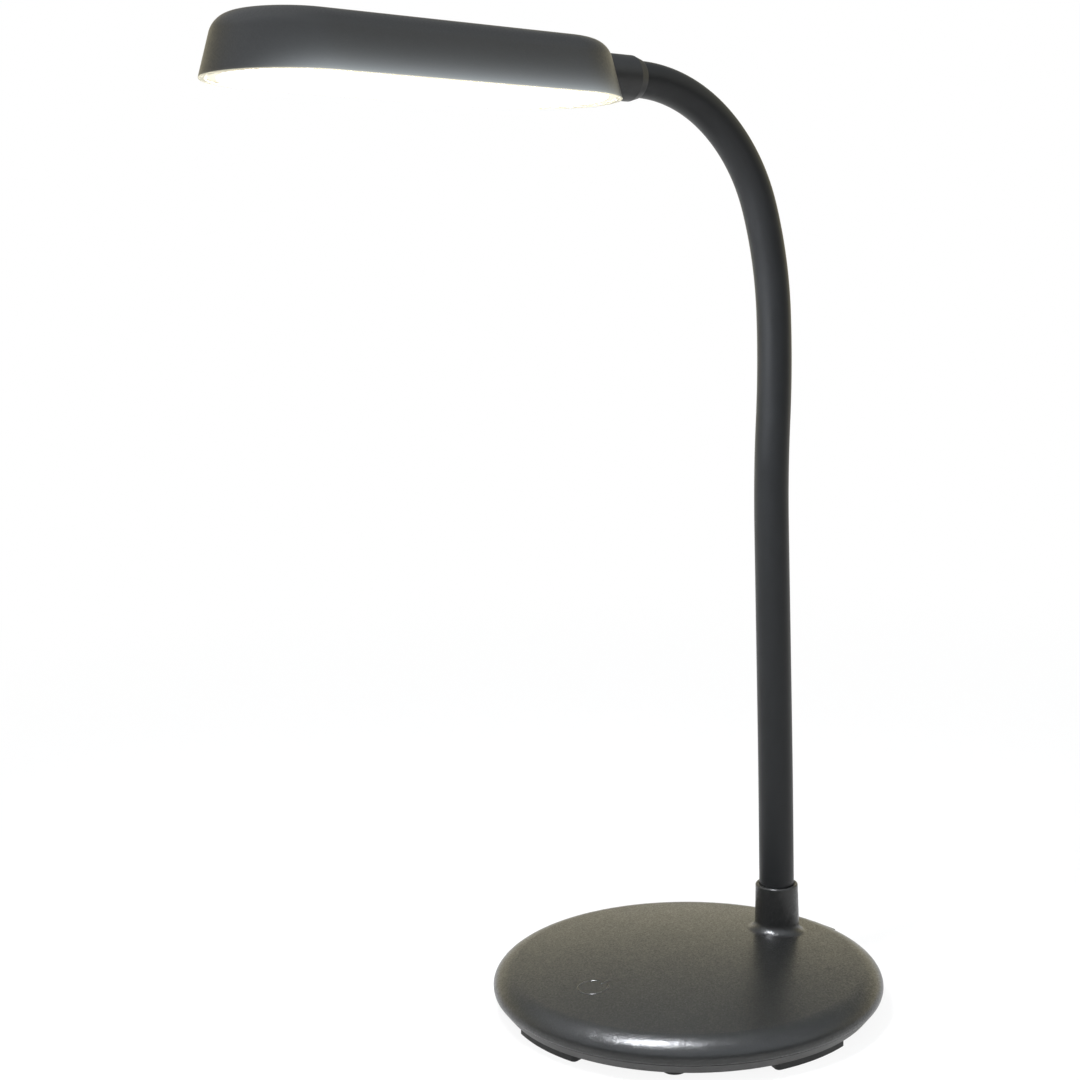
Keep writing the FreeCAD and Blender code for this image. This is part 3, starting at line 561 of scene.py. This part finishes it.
def headShell():
    profile = shellProfile()
    rings = stadiumRings(profile[:, 0], profile[:, 1])
    faces = gridFaces(rings.shape[0], rings.shape[1])
    piece = meshPiece("lamp_head", headPlace(rings), faces)
    # painted light: lipFace marks the lip for its pale painted colour and glow; lipSpill fades the painted
    # glow up the outer wall from the rim, strongest along the long sides
    above = profile[:, 1] - head["rimZ"]
    outside = np.arange(len(profile)) >= np.argmin(profile[:, 0])
    lip = np.clip((head["lipHigh"] - above) / head["lipFade"], 0, 1)
    spill = np.where(outside | (lip > 0), np.exp(-above / head["spillMm"]), 0)
    carry(piece, "lipFace", np.repeat(lip, rings.shape[1]))
    carry(piece, "lipSpill", spill[:, None] * broadside(head["spillEnds"]))
    weld(piece)
    dress(piece, shellPlastic)
    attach(piece, "head")
    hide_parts("head_shell")
    return piece


diffuser = {"recess": 0.5, "thick": 1.2, "gap": 0.25, "edgeRound": 0.25, "edgeSteps": 5,
            "fineFrom": 1.0, "fineTo": 7.0, "fineSteps": 13, "wideRows": (10.0, 16.0),
            "litSide": 7.0, "litEnds": 6}


def litDiffuser():
    # a thin slab: rows step in from its edge, so each row knows its distance from the edge
    low = head["rimZ"] + diffuser["recess"]
    high = low + diffuser["thick"]
    edge = head["wall"] + diffuser["gap"]
    r = diffuser["edgeRound"]
    fine = np.linspace(diffuser["fineFrom"], diffuser["fineTo"], diffuser["fineSteps"])
    steps = np.concatenate([[r], fine, diffuser["wideRows"], [head["halfWidth"] - edge]])
    under = np.stack([edge + steps, np.full(len(steps), low)], -1)[::-1]
    corner = arcCorner((edge, low), (head["halfWidth"], low), (edge, high), r, diffuser["edgeSteps"])[1:]
    over = np.array([[edge, high], [head["halfWidth"], high]])
    profile = np.concatenate([under, corner, over])
    rings = stadiumRings(profile[:, 0], profile[:, 1])
    piece = meshPiece("lit_diffuser", headPlace(rings), gridFaces(rings.shape[0], rings.shape[1]))
    # the LED strips lie along the two long sides, so there the sheet is lit right up to its edge
    carry(piece, "fromEdge", profile[:, :1] - edge + diffuser["litSide"] * broadside(diffuser["litEnds"]))
    weld(piece)
    dress(piece, litOpal)
    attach(piece, "head")
    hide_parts("diffuser")
    return piece


headShell()
litDiffuser()
print("head made")


# Camera, light and floor

view = {"distance": 691.37, "height": 289.53, "turn": 40.5, "pitch": 8.35945, "yaw": -4.4748,
        "roll": -1.60428, "focalPixels": 1802.4, "imagePixels": 1080, "sensor": 36.0, "nearest": 0.01}


def placeCamera():
    # yaw and pitch turn the view off the line to the base's centre, roll tilts it, and turn swings the
    # camera round the lamp
    turn, pitch, yaw, roll = (math.radians(view[k]) for k in ("turn", "pitch", "yaw", "roll"))
    right = np.array([math.cos(yaw), -math.sin(yaw), 0])
    ahead = np.array([math.sin(yaw), math.cos(yaw), 0])
    forward = math.cos(pitch) * ahead - math.sin(pitch) * np.array([0, 0, 1])
    up = math.sin(pitch) * ahead + math.cos(pitch) * np.array([0, 0, 1])
    rolledRight = math.cos(roll) * right + math.sin(roll) * up
    rolledUp = -math.sin(roll) * right + math.cos(roll) * up
    place = np.array([0, -view["distance"], view["height"]]) * metre
    swing = np.array([[math.cos(turn), math.sin(turn), 0],
                      [-math.sin(turn), math.cos(turn), 0],
                      [0, 0, 1]])
    columns = [swing @ v for v in (rolledRight, rolledUp, -forward, place)]
    data = bpy.data.cameras.new("camera")
    data.sensor_fit = "HORIZONTAL"
    data.sensor_width = view["sensor"]
    data.lens = view["sensor"] * view["focalPixels"] / view["imagePixels"]
    data.clip_start = view["nearest"]
    camera = bpy.data.objects.new("camera", data)
    bpy.context.scene.collection.objects.link(camera)
    camera.matrix_world = Matrix([[*[float(c[k]) for c in columns]] for k in range(3)] + [[0, 0, 0, 1]])
    bpy.context.scene.camera = camera


placeCamera()

studio = {"back": "#fff6d6", "front": "#e9eff6", "turnAway": 40.5, "azimuth": (-0.5, 0.7),
          "backLow": 1.12, "backHigh": 0.50, "backRise": (0.05, 0.52),
          "frontLow": 0.09, "frontHigh": 1.5, "frontRise": (0.08, 0.50), "warmUpTo": (0.25, 0.75),
          "floorHole": 0.0001, "floorRadius": 3.0, "floorColumns": 96, "fadeFrom": 0.35, "fadeTo": 1.0,
          "floorColour": "#f4f4f2", "floorRough": 0.9, "floorLift": 0.9}


def rising(tree, value, span, low, high):
    # a level that goes smoothly from low to high as the value crosses the span
    return ranged(tree, value, span, (low, high), "SMOOTHSTEP")


def makeWorld():
    # behind the lamp the backdrop is warm and brightest low down; in front it is dark low down and bright
    # above, as under a softbox; overhead it is neutral, and the camera sees plain white
    world = bpy.data.worlds.new("studio")
    bpy.context.scene.world = world
    world.use_nodes = True
    tree = world.node_tree
    tree.nodes.clear()
    turn = math.radians(studio["turnAway"])
    ray = addNode(tree, "ShaderNodeTexCoord").outputs["Generated"]
    behind = addNode(tree, "ShaderNodeVectorMath", {"operation": "DOT_PRODUCT"}, {0: ray})
    behind.inputs[1].default_value = (math.sin(turn), math.cos(turn), 0)
    height = addNode(tree, "ShaderNodeSeparateXYZ", None, {"Vector": ray}).outputs["Z"]
    share = rising(tree, behind.outputs["Value"], studio["azimuth"], 0, 1)
    warm = combined(tree, "MULTIPLY", share, rising(tree, height, studio["warmUpTo"], 1, 0))
    tone = mixed(tree, warm, studio["front"], studio["back"])
    front = rising(tree, height, studio["frontRise"], studio["frontLow"], studio["frontHigh"])
    back = rising(tree, height, studio["backRise"], studio["backLow"], studio["backHigh"])
    level = between(tree, share, front, back)
    soft = addNode(tree, "ShaderNodeBackground", None, {"Color": tone, "Strength": level})
    white = addNode(tree, "ShaderNodeBackground", {"Color": (1, 1, 1, 1), "Strength": 1.0})
    path = addNode(tree, "ShaderNodeLightPath")
    mix = addNode(tree, "ShaderNodeMixShader", None, {0: path.outputs["Is Camera Ray"], 1: soft.outputs[0],
                                                      2: white.outputs[0]})
    addNode(tree, "ShaderNodeOutputWorld", None, {"Surface": mix.outputs[0]})


def makeFloor():
    # a pale disc that keeps the lamp's shadow and fades into the white backdrop away from it
    columns = studio["floorColumns"]
    turn = np.linspace(0, 2 * np.pi, columns, endpoint=False)
    radii = np.array([studio["floorHole"], studio["fadeFrom"], studio["floorRadius"]])[:, None] / metre
    flat = np.zeros((len(radii), columns))
    rings = np.stack([radii * np.cos(turn), radii * np.sin(turn), flat], -1)
    floor = meshPiece("floor", rings, gridFaces(len(radii), columns)[:, ::-1])
    material, tree, shader, where = newMaterial("pale_floor")
    shader.inputs["Base Color"].default_value = linear(studio["floorColour"])
    shader.inputs["Roughness"].default_value = studio["floorRough"]
    away = addNode(tree, "ShaderNodeVectorMath", {"operation": "LENGTH"}, {0: where}).outputs["Value"]
    fade = rising(tree, away, (studio["fadeFrom"], studio["fadeTo"]), studio["floorLift"], 1)
    path = addNode(tree, "ShaderNodeLightPath")
    seen = combined(tree, "MAXIMUM", path.outputs["Is Camera Ray"], path.outputs["Is Glossy Ray"])
    share = combined(tree, "MULTIPLY", fade, seen)
    white = addNode(tree, "ShaderNodeEmission", {"Color": (1, 1, 1, 1), "Strength": 1.0})
    mix = addNode(tree, "ShaderNodeMixShader", None, {0: share, 1: shader.outputs[0], 2: white.outputs[0]})
    tree.links.new(mix.outputs[0], tree.nodes["Material Output"].inputs["Surface"])
    floor.data.materials.append(material)


def areaLight(name, look):
    light = bpy.data.lights.new(name, "AREA")
    light.shape = "RECTANGLE"
    light.size, light.size_y = look["size"]
    light.energy = look["power"]
    light.color = linear(look["colour"])[:3]
    lamp = bpy.data.objects.new(name, light)
    bpy.context.scene.collection.objects.link(lamp)
    place = np.array(look["place"], float)
    away = place - np.array(look["target"], float)
    away /= np.linalg.norm(away)
    side = np.cross([0, 0, 1], away)
    side /= np.linalg.norm(side)
    up = np.cross(away, side)
    lamp.matrix_world = Matrix([[side[k], up[k], away[k], place[k]] for k in range(3)] + [[0, 0, 0, 1]])


overhead = {"place": (-0.4, 0.6, 2.0), "target": (0, 0, 0.15), "size": (2.4, 2.4), "power": 4.0,
            "colour": "#fcfcfc"}

makeWorld()
makeFloor()
areaLight("overhead", overhead)
bpy.context.scene.view_settings.view_transform = "Standard"
print("camera, light and floor placed")
